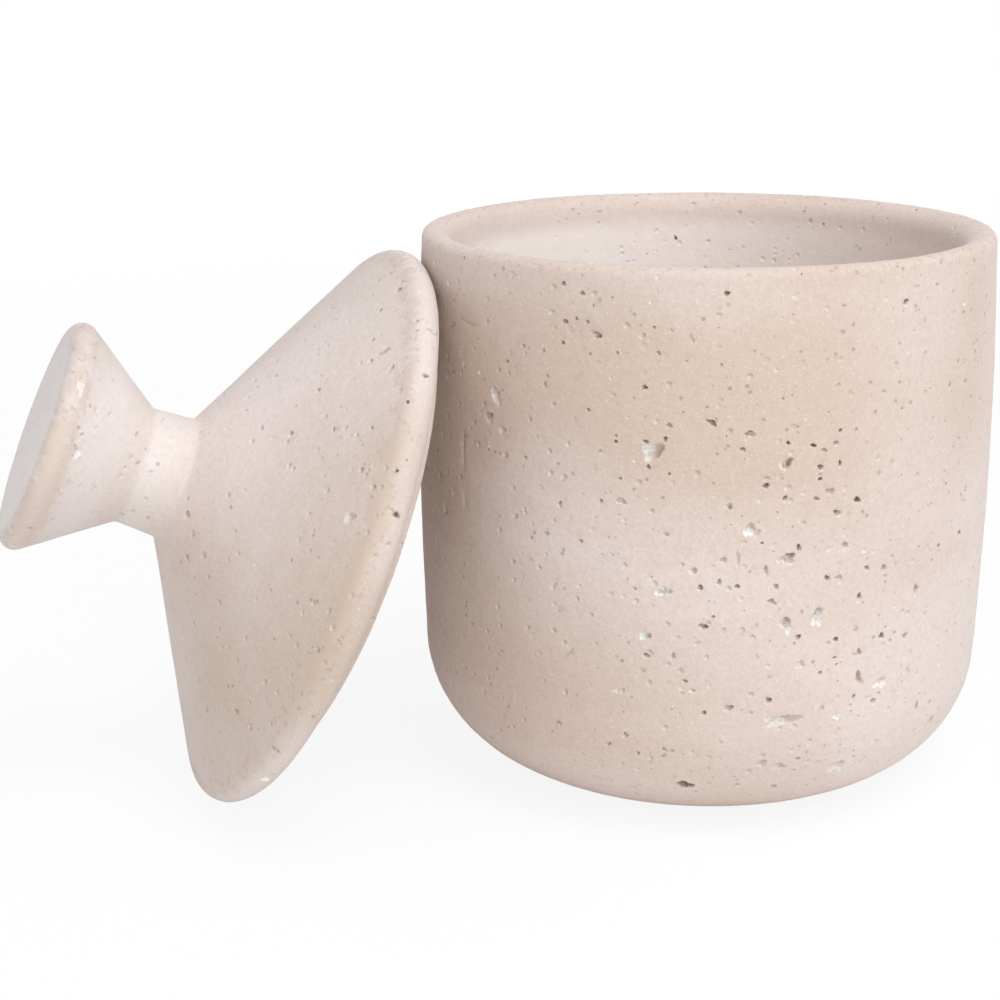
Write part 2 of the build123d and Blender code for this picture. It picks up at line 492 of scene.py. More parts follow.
def seen_holes(table, shape, place):
    """Rows of u, s, half widths across and along, lean, depth and white from a pixel table."""
    table = np.array([(*row, 0, 0)[:7] for row in table], float)
    u, s = place_pixels(table[:, :2], shape, place)
    point, normal = surface(shape, u, s)
    point, normal = moved(point, place), normal @ place[:3, :3].T
    sight = point - camera_place
    px_mm = (sight @ ahead) / focal_px
    facing = np.maximum(-(normal * sight).sum(1) / np.linalg.norm(sight, axis=1), least_facing)
    half = table[:, 2:4] * px_mm[:, None] / 2 / np.sqrt(facing)[:, None] * drawn_share
    return np.column_stack([u, s, half, np.radians(table[:, 6]), table[:, 4:6]])


pot_seen = seen_holes(pot_holes_px, pot_profile, upright)
lid_seen = seen_holes(lid_holes_px, lid_profile, lid_place)
print("largest seen hole", round(2 * pot_seen[:, 2].max(), 1), "mm wide")

# %% [markdown]
# The holes that nobody counts
#
# The rest are sown at random, more of them where the gathering field is high, and none may
# touch another. A dart that lands on a taken spot is simply dropped.

# %% Holes sown at random
darts_per_hole = 6
pole_reach = 6.0
small_hole_bias = 2.2
deep_share, lined_share = 0.45, 0.1
deepest_sown = 1.2
hole_spread, least_gap = 1.5, 0.15


def sown_holes(shape, seen, count, small, large, where):
    """Seeded darts by area, away from the axis, kept with the chance where(point, s)."""
    density = shape["r"] * (shape["r"] > pole_reach)
    total = np.cumsum(density) / density.sum()
    tries = count * darts_per_hole

    def chance(low, high):
        return rng.uniform(low, high, tries)

    s = np.interp(chance(0, 1), total, shape["s"])
    u = chance(0, 2 * math.pi)
    size = small * (large / small) ** (chance(0, 1) ** small_hole_bias)
    deep = np.where(chance(0, 1) < deep_share, chance(0.9, 1.5), chance(0.25, 0.5))
    white = np.where(chance(0, 1) < lined_share, chance(0.4, 0.9), chance(0, 0.15))
    narrow, lean = size * chance(0.55, 1), chance(-1.6, 1.6)
    rows = np.stack([u, s, size, narrow, lean, np.minimum(deep * size, deepest_sown), white], 1)
    point, _ = surface(shape, u, s)
    landed = chance(0, 1) < where(point, s)
    rows, point = rows[landed], point[landed]

    kept = list(seen)
    spots = [surface(shape, row[:1], row[1:2])[0][0] for row in seen]
    reach = [max(row[2], row[3]) for row in seen]
    for row, spot in zip(rows, point):
        if len(kept) >= count + len(seen):
            break
        gap = np.linalg.norm(np.array(spots) - spot, axis=1)
        gap = gap - hole_spread * np.array(reach) - hole_spread * row[2]
        if gap.min() > least_gap:
            kept.append(row)
            spots.append(spot)
            reach.append(row[2])
    return np.array(kept)


def length_where(shape, score):
    """Length along an outline at the place with the highest score."""
    return shape["s"][np.argmax(score)]


def on_pot(point, s):
    """Most holes are outside, in soft levels, and fewer are inside."""
    outside = s < pot_outside_end
    levels = 0.55 + 0.45 * gathering(point * np.array([0.5, 0.5, 1.6]))
    return np.clip(levels, 0.12, 1) * np.where(outside, 1.0, 0.45)


def on_lid(point, s):
    """The lid has fewer holes, and its neck has next to none."""
    neck = (s > lid_neck_start) & (s < lid_neck_end)
    return np.clip(0.5 + 0.45 * gathering(point + 200.0), 0.1, 1) * np.where(neck, 0, 0.8)


lip_edge = length_where(pot_profile, pot_profile["z"])
pot_outside_end = lip_edge + 6.0
foot_crease = length_where(lid_profile, -np.abs(lid_profile["z"] - cone_height - 0.8))
lid_neck_start = foot_crease - 2.0
lid_neck_end = length_where(lid_profile, -np.abs(lid_profile["z"] - neck_top - 4.0))
pot_holes = sown_holes(pot_profile, pot_seen, 2350, 0.22, 0.72, on_pot)
lid_holes = sown_holes(lid_profile, lid_seen, 220, 0.18, 0.42, on_lid)
print(len(pot_holes), "holes on the pot,", len(lid_holes), "on the lid")

# %% [markdown]
# One closed skin
#
# Points lie in rings over the whole piece, closer together on edges. Those under a hole make
# way for its own rings: round it, on its edge, on its wall and floor, and a centre. A Delaunay
# net over the flat sheet joins all points. The sheet is repeated past both ends of the turn, so
# the net closes on itself with no seam.

# %% Points of the skin
last_ring_radius = 1.5
fewest_points = 12
shake_share = 0.13


def ring_points(shape, spacing):
    """Rings along the outline, each with (circumference / spacing) points, shaken a little."""
    s, r = shape["s"], shape["r"]
    gap = spacing(s)
    count = np.cumsum(step / gap)
    off_axis = np.flatnonzero(r > last_ring_radius)
    first, last = s[off_axis[0]], s[off_axis[-1]]
    lowest, highest = np.interp(first, s, count), np.interp(last, s, count)
    inner = np.interp(np.arange(math.ceil(lowest) + 1, highest - 0.5), count, s)
    us, ss = [], []
    for place, length in enumerate([first, *inner, last]):
        number = round(2 * math.pi * np.interp(length, s, r) / np.interp(length, s, gap))
        number = max(number, fewest_points)
        shake = 0.0 if length in (first, last) else shake_share
        turn = (np.arange(number) + 0.5 * (place % 2) + rng.uniform(-shake, shake, number)) / number
        us.append(turn % 1.0 * 2 * math.pi)
        ss.append(length + rng.uniform(-shake, shake, number) * np.interp(length, s, gap))
    return np.concatenate(us), np.concatenate(ss)


# Each ring of a hole has its reach as a share of the outline's, and its share of the depth
small_rings = {1.35: 0.0, 1.05: 0.0, 0.6: 1.0}
middle_rings = {1.42: 0.0, 1.04: 0.0, 0.84: 0.6, 0.45: 1.0}
large_rings = {1.4: 0.0, 1.16: 0.0, 1.02: 0.02, 0.9: 0.5, 0.7: 0.85, 0.45: 1.0, 0.22: 0.95}
wobbles = ((2, 0.1), (3, 0.16), (4, 0.1), (5, 0.07))
# Each kind of hole has its least and largest size, its points on a ring, and its rings
hole_kinds = [
    (0, 0.42, 7, small_rings),
    (0.42, 0.9, 11, middle_rings),
    (0.9, 1.6, 18, large_rings),
    (1.6, 99, 28, large_rings),
]
lined_from = 0.35
# How strong the painted shade in a hole is: when lined, at least, and by depth over width
lined_dark, least_dark, dark_by_depth = 0.6, 0.15, 0.75
centre_lining, centre_shade = 0.9, 0.55
off_middle = 0.4
wall_reach, edge_reach = 0.95, 1.1


def light_side(shape, holes, place):
    """Direction on the sheet, at each hole, of the way to the key light, give or take a little."""
    u, s = holes[:, 0], holes[:, 1]
    point, _ = surface(shape, u, s)
    out, rise = at_length(shape, "out", s), at_length(shape, "up", s)
    across = np.stack([-np.sin(u), np.cos(u), 0 * u], 1)
    along = np.stack([-rise * np.cos(u), -rise * np.sin(u), out], 1)
    way = unmoved(key_place[None], place) - point
    return np.arctan2((way * along).sum(1), (way * across).sum(1)) + rng.normal(0, 0.5, len(u))


def hole_points(shape, holes, sides, rings, place):
    """Rings of one kind of hole: an ellipse with wobbles, times each reach, at each share of depth.

    The inner rings lie off the middle, towards the light, so that the wall there is steep and
    the wall opposite is a slope. Shade, painted into the colour, is 1 on the steep side, and
    below 0, a painted highlight, on the slope.
    """
    count = len(holes)
    u, s, wide, high, lean, depth, lining = (holes[:, [column]] for column in range(7))
    side = light_side(shape, holes, place)[:, None]
    angle = np.linspace(0, 2 * math.pi, sides, endpoint=False) + rng.uniform(0, 1, (count, 1))
    wobble = 1 + sum(
        size * np.cos(turns * angle + rng.uniform(0, 2 * math.pi, (count, 1)))
        for turns, size in wobbles
    )
    x, y = wide * np.cos(angle) * wobble, high * np.sin(angle) * wobble
    x, y = x * np.cos(lean) - y * np.sin(lean), x * np.sin(lean) + y * np.cos(lean)
    near = np.cos(np.arctan2(y, x) - side)
    radius, centre_v = at_length(shape, "r", s), at_length(shape, "v", s)
    # The strength of each hole's painted shade
    dark = np.clip(depth / np.maximum(wide, high) * dark_by_depth, least_dark, 1)
    dark *= np.where(lining > lined_from, lined_dark, 1)
    us, vs = [u], [centre_v]
    deep, white, shade = [depth], [lining * centre_lining], [dark * centre_shade]
    for reach, share in rings.items():
        off = off_middle * np.maximum(1 - reach, 0) * np.minimum(wide, high)
        us.append(u + (x * reach + off * np.cos(side)) / radius)
        vs.append(centre_v + (y * reach + off * np.sin(side)) / radius)
        steep = np.clip(share * (1 + 0.5 * near * (share < 0.95)), 0, 1)
        deep.append(depth * steep * rng.uniform(0.88, 1.08, (count, sides)))
        inside = 1 if reach < wall_reach else 0.75 if reach < edge_reach else 0
        # The white lining is real, but it is painted brighter on the wall opposite the light and
        # dimmer on the wall near it, as painted light and shade
        white.append(lining * np.clip(0.75 - 0.45 * near, 0, 1) * (reach < edge_reach))
        # Painted shade: dark on the steep wall near the light, below 0 on the slope opposite as a
        # painted highlight, and dark all round where the lining is below 0
        shade.append(dark * np.clip(0.3 + 0.8 * near + (lining < 0), -0.6, 1) * inside)
    parts = (us, vs, deep, white, shade)
    return [np.concatenate([np.asarray(ring).ravel() for ring in part]) for part in parts]


clearing, clearing_extra = 1.55, 0.3


def make_way(shape, u, s, holes):
    """Which ring points lie outside every hole's ellipse, made half as large again and a bit."""
    point, _ = surface(shape, u, s)
    v = at_length(shape, "v", s)
    tree = KDTree(len(point))
    for place, spot in enumerate(point):
        tree.insert(spot, place)
    tree.balance()
    keep = np.ones(len(point), bool)
    centres, _ = surface(shape, holes[:, 0], holes[:, 1])
    for centre, (hole_u, hole_s, wide, high, lean, *_) in zip(centres, holes):
        wide, high = clearing * wide + clearing_extra, clearing * high + clearing_extra
        near = np.array([place for _, place, _ in tree.find_range(centre, max(wide, high))], int)
        radius, centre_v = at_length(shape, "r", hole_s), at_length(shape, "v", hole_s)
        across = ((u[near] - hole_u + math.pi) % (2 * math.pi) - math.pi) * radius
        along = (v[near] - centre_v) * radius
        x = across * math.cos(lean) + along * math.sin(lean)
        y = along * math.cos(lean) - across * math.sin(lean)
        keep[near[(x / wide) ** 2 + (y / high) ** 2 < 1]] = False
    return keep


# %% The net
seam_margin = 2.6


def net(u, v):
    """Triangles of a Delaunay net on the sheet that repeats every full turn of u."""
    count, full = len(u), 2 * math.pi
    low, high = np.flatnonzero(u < seam_margin), np.flatnonzero(u > full - seam_margin)
    number = np.concatenate([np.arange(count), low, high])
    sheet_u = np.concatenate([u, u[low] + full, u[high] - full])
    flat = np.stack([sheet_u, v[number]], 1)
    corners = [Vector(corner) for corner in flat.tolist()]
    _, _, faces, origins, _, _ = delaunay_2d_cdt(corners, [], [], 0, 1e-9)
    origin = np.array([first[0] for first in origins])
    faces = origin[np.array(faces)]
    middle = sheet_u[faces].mean(1)
    return number[faces[(middle >= 0) & (middle < full)]]


def skin(shape, holes, spacing, place):
    """The whole piece as points, faces and marks: rings, holes, net and two closed poles."""
    u, s = ring_points(shape, spacing)
    keep = make_way(shape, u, s, holes)
    u, s = u[keep], s[keep]
    v = at_length(shape, "v", s)
    size = np.maximum(holes[:, 2], holes[:, 3])
    parts = [(u, v, 0 * u, 0 * u, 0 * u)]
    for least, most, sides, rings in hole_kinds:
        chosen = (size >= least) & (size < most)
        if chosen.any():
            parts.append(hole_points(shape, holes[chosen], sides, rings, place))
    u, v, deep, white, shade = (np.concatenate(column) for column in zip(*parts))
    u = u % (2 * math.pi)
    faces = net(u, v)
    s = np.interp(v, shape["v"], shape["s"])

    # Each pole is a fan from the ring nearest the axis to one point on it
    for edge, length, way in ((v.min(), 0, 1), (v.max(), shape["s"][-1], -1)):
        ring = np.flatnonzero(np.abs(v - edge) < 1e-9)
        ring = ring[np.argsort(u[ring])][::-way]
        pole = len(u)
        faces = np.vstack([faces, np.stack([ring, np.roll(ring, -1), np.full(len(ring), pole)], 1)])
        u, s = np.append(u, 0.0), np.append(s, length)
        deep, white, shade = (np.append(a, 0.0) for a in (deep, white, shade))
    return u, s, faces, {"deep": deep, "white": white, "shade": shade}


def open_edges(faces):
    """How many edges don't have exactly two faces."""
    edges = np.sort(np.vstack([faces[:, [0, 1]], faces[:, [1, 2]], faces[:, [2, 0]]]), 1)
    _, uses = np.unique(edges, axis=0, return_counts=True)
    return int((uses != 2).sum())


# %% [markdown]
# Into Blender
#
# The points are swung round the axis, pressed in by the depth of their hole, lifted or lowered
# by the slow fields and put in their place. Depth, lining and wear stay on the mesh as
# attributes, so that the finish can follow the shape.

# %% Making a piece
unevenness = 0.1
calm_height = 8.0


def set_value(piece, key, value):
    """Keep one number per point on a piece, under a name that its finish reads."""
    numbers = piece.data.attributes.new(key, "FLOAT", "POINT")
    numbers.data.foreach_set("value", value.astype(np.float32))


def make_piece(name, shape, holes, spacing, place):
    """Mesh object of a turned piece: surface point - normal x depth + normal x fields.

    The fields fade out near the floor, so that the piece stands on it as the solid does.
    """
    u, s, faces, marks = skin(shape, holes, spacing, place)
    point, normal = surface(shape, u, s)
    calm = np.clip(moved(point, place)[:, 2] / calm_height, 0, 1)
    lift = unevenness * calm * (0.7 * swell(point) + 0.3 * ripple(point))
    own = point + normal * (lift - marks["deep"])[:, None]
    mesh = bpy.data.meshes.new(name)
    mesh.from_pydata((moved(own, place) * MM).tolist(), [], faces.tolist())
    mesh.polygons.foreach_set("use_smooth", [True] * len(mesh.polygons))
    mesh.update()
    piece = add_object(name, mesh)
    print(name, len(faces), "triangles,", open_edges(faces), "open edges")
    places = mesh.attributes.new("own", "FLOAT_VECTOR", "POINT")
    places.data.foreach_set("vector", (point * MM).astype(np.float32).ravel())
    for key, value in marks.items():
        set_value(piece, key, value)
    return piece, point, s


# %% The pot and the lid
def pot_spacing(s):
    """Ring spacing in mm: fine on the lip, middling outside, wide inside."""
    marks = [0, 40, 60, lip_edge - 10, lip_edge - 3, lip_edge + 8, lip_edge + 16, s[-1]]
    return np.interp(s, marks, [5, 4, 2.4, 2.4, 0.9, 0.9, 3, 5])


lid_edge = length_where(lid_profile, lid_profile["r"])
knob_edge = length_where(lid_profile, np.where(lid_profile["z"] > neck_top, lid_profile["r"], 0))
ring_foot = length_where(lid_profile, -lid_profile["z"])
fine_places = [
    (ring_foot + ring_width / 2, 7.0),
    (lid_edge, 8.0),
    (foot_crease, 3.0),
    (foot_crease + neck_length, 3.0),
    (knob_edge, 7.0),
]


def lid_spacing(s):
    """Ring spacing in mm: fine within reach of an edge or a crease, and wide between them."""
    away = np.min([np.abs(s - place) / reach for place, reach in fine_places], axis=0)
    return np.interp(away, [1.0, 2.0], [0.85, 2.3])


pot, pot_points, pot_s = make_piece("pot_shell", pot_profile, pot_holes, pot_spacing, upright)
lid, lid_points, lid_s = make_piece("lid_shell", lid_profile, lid_holes, lid_spacing, lid_place)

# %% [markdown]
# Patches and wear
#
# The clay isn't one colour: broad clouds of ochre lie over pale pink, mostly below the lip, at
# the right and round the heel. The ochre clouds on the pot's wall beside the lid and on the lid's
# lower side are partly painted shade, and the pale ones on the lid's upper side and knob are
# partly painted light. The edges of lid and knob are rubbed to a tan, and the neck, the knob and
# its face are paler. The pot's inside is painted paler as painted light, most on its left, and
# the lid's rim edge has a painted highlight. All of it is kept as a number on each point. A
# patch is given by pixel, with its size in millimetres and its strength.

# %% Patches read from the photograph
# Ochre patches; those at the pot's left edge, beside the lid, are partly painted shade of the lid
ochre_and_shade_px = [
    (480, 420, 22, 0.8), (570, 400, 24, 0.8), (690, 400, 24, 0.7), (620, 330, 18, 0.2),
    (800, 390, 20, 0.75), (965, 400, 14, 0.9), (975, 300, 12, 0.8), (700, 750, 20, 0.25),
    (450, 360, 14, 0.9), (446, 470, 14, 0.9), (540, 710, 24, 0.8), (470, 650, 14, 0.5),
    (630, 680, 22, 0.45), (640, 450, 16, 0.4), (880, 370, 20, 0.4), (760, 500, 16, 0.5),
]
pale_px = [
    (560, 560, 20, 0.7), (520, 500, 16, 0.5), (800, 500, 20, 0.15), (880, 560, 22, 0.15),
    (740, 600, 18, 0.5), (700, 520, 16, 0.15), (900, 640, 14, 0.6), (962, 610, 18, 0.9),
    (945, 690, 16, 0.9), (890, 740, 16, 0.9),
]
# Ochre patches on the lid's lower side, partly painted shade
lid_ochre_and_shade_px = [
    (300, 660, 22, 1), (230, 720, 22, 0.9), (390, 440, 14, 0.6), (330, 560, 18, 0.6),
    (200, 560, 16, 0.8), (330, 470, 14, 0.3),
]
lid_worn_px = [
    (45, 505, 12, 1), (66, 440, 9, 0.5), (418, 430, 14, 0.3), (388, 530, 16, 0.6),
    (325, 665, 18, 0.8),
]
# Pale patches on the lid's upper side and knob, partly painted light
lid_pale_and_painted_light_px = [(260, 400, 20, 0.9), (340, 320, 18, 0.4), (110, 420, 14, 1.0), (100, 470, 14, 1.0)]


def clouds(patches, shape, place, points):
    """Sum of bells exp(-(distance / size)^2) x strength round the patches' centres."""
    table = np.array(patches, float)
    u, s = place_pixels(table[:, :2], shape, place)
    centre, _ = surface(shape, u, s)
    away = ((points[:, None] - centre[None]) ** 2).sum(2)
    return (np.exp(-away / table[:, 2] ** 2) * table[:, 3]).sum(1)


drift = waves(60.0)
pot_cloud = clouds(ochre_and_shade_px, pot_profile, upright, pot_points)
pot_cloud -= clouds(pale_px, pot_profile, upright, pot_points)
# The lid's clouds hold painted shade below and painted light above
lid_cloud = clouds(lid_ochre_and_shade_px, lid_profile, lid_place, lid_points)
lid_cloud -= clouds(lid_pale_and_painted_light_px, lid_profile, lid_place, lid_points)
set_value(pot, "ochre", pot_cloud + 0.25 * drift(pot_points))
set_value(lid, "ochre", lid_cloud + 0.25 * drift(lid_points + 300.0))
print("patches are on the meshes")


# %% Wear, paler parts and painted light
def bell(s, middle, width):
    """1 at the middle, falling off over a width: exp(-((s - middle) / width)^2)."""
    return np.exp(-(((s - middle) / width) ** 2))


ragged = 0.5 * wearing(lid_points)
rubbing = 0.55 * bell(lid_s, lid_edge + 4.0, 3.5) + 0.5 * bell(lid_s, knob_edge, 5.0)
worn_more = clouds(lid_worn_px, lid_profile, lid_place, lid_points)
rubbing *= 1 + worn_more
lip_worn = 0.5 * bell(pot_s, lip_edge, 4.0) + 0.2 * wearing(pot_points) * bell(pot_s, lip_edge, 6.0)
set_value(pot, "worn", lip_worn)
set_value(lid, "worn", np.clip(rubbing, 0, 1) + ragged * 0.3)
neck_middle = (lid_neck_start + lid_neck_end) / 2
# The pot's inside is painted paler as painted light, most on its left, where the key light falls
inside_painted_light = 0.75 - 0.45 * pot_points[:, 0] / bore_radius
set_value(pot, "pale_and_painted_light", inside_painted_light * np.clip((pot_s - pot_outside_end) / 6, 0, 1))
knob_pale = 0.5 * bell(lid_s, lid_neck_end + 8, 8.0)
face_pale = 0.5 * np.clip((lid_s - knob_edge - 3) / 4, 0, 1)
neck_pale = 0.3 * bell(lid_s, neck_middle, 7.0)
# A painted highlight along the lid's rim edge, less where it is worn more
rim_painted_highlight = 0.3 * bell(lid_s, lid_edge, 3.0) * np.clip(1 - 1.3 * worn_more, 0, 1)
set_value(lid, "pale_and_painted_light", np.clip(neck_pale + rim_painted_highlight + knob_pale + face_pale, 0, 1))
print("wear and bleaching are on the meshes")

# %% [markdown]
# One clay, two recipes of it. The colour goes from pale pink to ochre by the patches, with fine
# grain and level bands. Holes have brown or white floors, and worn edges are tan with a ragged
# border. Holes and dimples have painted shade on the side near the key light and a painted
# highlight on the other, and the pot's inside and the lid's rim edge have painted light. The
# clay has no glaze, so it is rough all over. Every pattern is laid out on the piece's own
# places, so it stays with the piece when that moves.

# %% Node helpers
class Nodes:
    """A node tree as it grows: each call adds a node and hands back its output."""

    def __init__(self, tree):
        self.tree = tree

    def give(self, socket, value):
        """Link a socket to an output, or set it to a constant."""
        if isinstance(value, bpy.types.NodeSocket):
            self.tree.links.new(value, socket)
        else:
            socket.default_value = value

    def node(self, kind, inputs=None, **settings):
        """Add a node with its settings, and link or fill its inputs."""
        node = self.tree.nodes.new("ShaderNode" + kind)
        for key, value in settings.items():
            setattr(node, key, value)
        for key, value in (inputs or {}).items():
            self.give(node.inputs[key], value)
        return node

    def number(self, key):
        """One number per point, from the mesh."""
        return self.node("Attribute", attribute_name=key).outputs["Fac"]

    def math(self, kind, a, b, clamp=False):
        """a and b put together."""
        return self.node("Math", {0: a, 1: b}, operation=kind, use_clamp=clamp).outputs[0]

    def plus(self, a, b):
        """a + b."""
        return self.math("ADD", a, b)

    def less(self, a, b):
        """a - b."""
        return self.math("SUBTRACT", a, b)

    def times(self, a, b):
        """a x b."""
        return self.math("MULTIPLY", a, b)

    def vector(self, kind, *values):
        """A vector sum or product of its values."""
        return self.node("VectorMath", dict(enumerate(values)), operation=kind).outputs[0]

    def noise(self, at, scale, detail=3.0, rough=0.55):
        """Smooth noise of about 0..1 at so many waves a metre."""
        inputs = {"Vector": at, "Scale": scale, "Detail": detail, "Roughness": rough}
        return self.node("TexNoise", inputs).outputs["Fac"]

    def swing(self, noise, size):
        """Noise made to swing about zero: (noise - 0.5) x size."""
        return self.times(self.less(noise, 0.5), size)

    def ramp(self, value, low, high, start=0.0, end=1.0):
        """value from low..high stretched to start..end and held there."""
        inputs = {"Value": value, "From Min": low, "From Max": high, "To Min": start, "To Max": end}
        node = self.node("MapRange", inputs, interpolation_type="SMOOTHSTEP")
        return node.outputs["Result"]

    def mix(self, share, a, b):
        """Colour a turned into colour b by a share."""
        node = self.node("Mix", data_type="RGBA")
        for key, value in (("Factor", share), ("A", a), ("B", b)):
            socket = next(socket for socket in node.inputs if socket.name == key and socket.enabled)
            self.give(socket, value)
        return next(output for output in node.outputs if output.enabled)

    def bump(self, height, distance, strength, below=None):
        """A bump from a height, on top of another bump."""
        inputs = {"Height": height, "Distance": distance, "Strength": strength}
        if below is not None:
            inputs["Normal"] = below
        return self.node("Bump", inputs).outputs["Normal"]


# %% The colours of the clay
def linear(red, green, blue):
    """A colour given as it is seen, 0 to 255, turned into light: ((c + 0.055) / 1.055)^2.4."""
    seen = np.array([red, green, blue]) / 255
    light = np.where(seen > 0.04045, ((seen + 0.055) / 1.055) ** 2.4, seen / 12.92)
    return (*light.tolist(), 1.0)


pot_recipe = {
    "pale": linear(222, 208, 201),
    "middle": linear(216, 198, 188),
    "ochre": linear(207, 187, 171),
    "tan": linear(208, 193, 183),
    "bleach_and_painted_light": linear(250, 244, 240),
}
lid_recipe = {
    "pale": linear(224, 211, 206),
    "middle": linear(216, 201, 194),
    "ochre": linear(201, 182, 166),
    "tan": linear(205, 183, 164),
    "bleach_and_painted_light": linear(236, 234, 232),
}
sand_brown, dust_cream = linear(186, 166, 152), linear(246, 236, 226)
fleck_brown, rubbed_brown = linear(140, 108, 86), linear(150, 122, 98)
# The dimples' painted shade and painted highlight
dimple_painted_shade, dimple_painted_highlight = linear(150, 126, 106), linear(240, 231, 224)
# Brown for the holes' floors, and the painted highlight on their slopes
floor_brown, painted_highlight_pale = linear(168, 144, 126), linear(242, 236, 231)
lining_grey, lining_white = linear(216, 210, 203), linear(246, 243, 239)
crust_dark = linear(160, 148, 134)
# The painted shade on the holes' steep sides, near the light
painted_shade_dark, painted_shade_light = linear(92, 76, 62), linear(128, 108, 92)


# %% Patches and bands
def patched(f, at, recipe):
    """Pale to middle to ochre by the patches, broken up by clouds and by soft level bands."""
    level = f.node("Mapping", {"Vector": at, "Scale": (0.25, 0.25, 1.6)}).outputs["Vector"]
    patch = f.plus(f.number("ochre"), f.swing(f.noise(at, 35.0, 4.0, 0.6), 1.4))
    patch = f.plus(patch, f.swing(f.noise(level, 60.0), 1.2))
    colour = f.mix(f.ramp(patch, -0.9, 0.15), recipe["pale"], recipe["middle"])
    return f.mix(f.ramp(patch, 0, 1.3), colour, recipe["ochre"])


# %% Grain and flecks
def grained(f, at, sand, colour):
    """Sand of two sizes: coarse and darker, fine and lighter."""
    colour = f.mix(f.ramp(sand, 0.35, 0.72, 0, 0.2), colour, sand_brown)
    return f.mix(f.ramp(f.noise(at, 2600.0, 1.0, 0.5), 0.55, 0.8, 0, 0.35), colour, dust_cream)


def flecks(f, at):
    """Flecks too small to be holes of the mesh: the middles of cells, where a noise picks them."""
    cell = f.node("TexVoronoi", {"Vector": at, "Scale": 420.0})
    chosen = f.ramp(f.noise(at, 160.0, 2.0), 0.52, 0.66)
    return f.times(f.ramp(cell.outputs["Distance"], 0.10, 0.22, 1, 0), chosen)


# %% Dimples
dimple_warp = 0.0011
dimple_shift = 0.00035


def dimples(f, at):
    """Height of a skin of shallow dimples, 1 on the flat and 0 in a third of the cells."""
    cell = f.node("TexVoronoi", {"Vector": at, "Scale": 330.0})
    red = f.node("SeparateColor", {"Color": cell.outputs["Color"]}).outputs[0]
    return f.math("MAXIMUM", f.ramp(cell.outputs["Distance"], 0.06, 0.26), f.ramp(red, 0.3, 0.45))


def dimpled(f, at, place, colour):
    """Painted shade on dimples near the light, a painted highlight opposite; also their height.

    The height a little way towards the light, less the height here, tells the two sides.
    """
    warp = f.node("TexNoise", {"Vector": at, "Scale": 500.0, "Detail": 2.0}).outputs["Color"]
    bent = f.vector("MULTIPLY_ADD", warp, (dimple_warp,) * 3, at)
    way = unmoved(key_place[None], place)[0]
    way = tuple((way / np.linalg.norm(way) * dimple_shift).tolist())
    height = dimples(f, bent)
    relief = f.less(dimples(f, f.vector("ADD", bent, way)), height)
    # Painted shade near the light, then a painted highlight on the other side
    colour = f.mix(f.ramp(relief, 0.06, 0.8, 0, 0.45), colour, dimple_painted_shade)
    return f.mix(f.ramp(f.less(0.0, relief), 0.06, 0.8, 0, 0.42), colour, dimple_painted_highlight), height


# %% Worn edges
def worn_down(f, at, recipe, colour):
    """Tan where edges are worn, brown grains on the ragged border, and paler parts with painted
    light.
    """
    frayed = f.plus(f.number("worn"), f.swing(f.noise(at, 260.0, 4.0, 0.65), 1.1))
    colour = f.mix(f.times(f.ramp(frayed, 0.35, 0.75), 0.6), colour, recipe["tan"])
    border = f.times(f.ramp(frayed, 0.3, 0.5), f.ramp(frayed, 0.5, 0.75, 1, 0))
    rubbed = f.times(border, f.ramp(f.noise(at, 800.0, 2.0), 0.5, 0.68))
    colour = f.mix(f.times(rubbed, 0.3), colour, rubbed_brown)
    return f.mix(f.math("MULTIPLY", f.number("pale_and_painted_light"), 0.8, clamp=True), colour, recipe["bleach_and_painted_light"])


# %% The colours in the holes
def hole_coloured(f, at, colour):
    """Brown floors, white linings with a dark crust in some, painted shade on steep sides and
    painted highlights on slopes.
    """
    floor = f.ramp(f.number("deep"), 0.05, 0.9)
    colour = f.mix(f.times(floor, 0.5), colour, floor_brown)
    crust = f.noise(at, 1300.0, 3.0, 0.6)
    lining = f.mix(f.ramp(crust, 0.35, 0.65), lining_grey, lining_white)
    lining = f.mix(f.ramp(crust, 0.42, 0.3, 0, 0.45), lining, crust_dark)
    colour = f.mix(f.ramp(f.number("white"), 0.15, 0.7, 0, 0.9), colour, lining)
    # Painted shade on the steep side near the light
    steep = f.times(f.ramp(f.number("shade"), 0.12, 0.95), 0.85)
    colour = f.mix(steep, colour, f.mix(f.noise(at, 700.0), painted_shade_dark, painted_shade_light))
    # A painted highlight on the slope opposite
    slope = f.ramp(f.less(0.0, f.number("shade")), 0.05, 0.5)
    return f.mix(f.times(slope, 0.5), colour, painted_highlight_pale)


# %% The rough skin
def rough_skin(f, at, dimple_height, fleck):
    """Four bumps on top of each other, fine to coarse: grain, soft swells, dimples and flecks."""
    normal = f.bump(f.noise(at, 1100.0, 3.0, 0.6), 0.00012, 0.5)
    normal = f.bump(f.noise(at, 170.0), 0.0009, 0.4, normal)
    normal = f.bump(dimple_height, 0.00022, 0.9, normal)
    return f.bump(f.less(1.0, fleck), 0.0003, 0.6, normal)


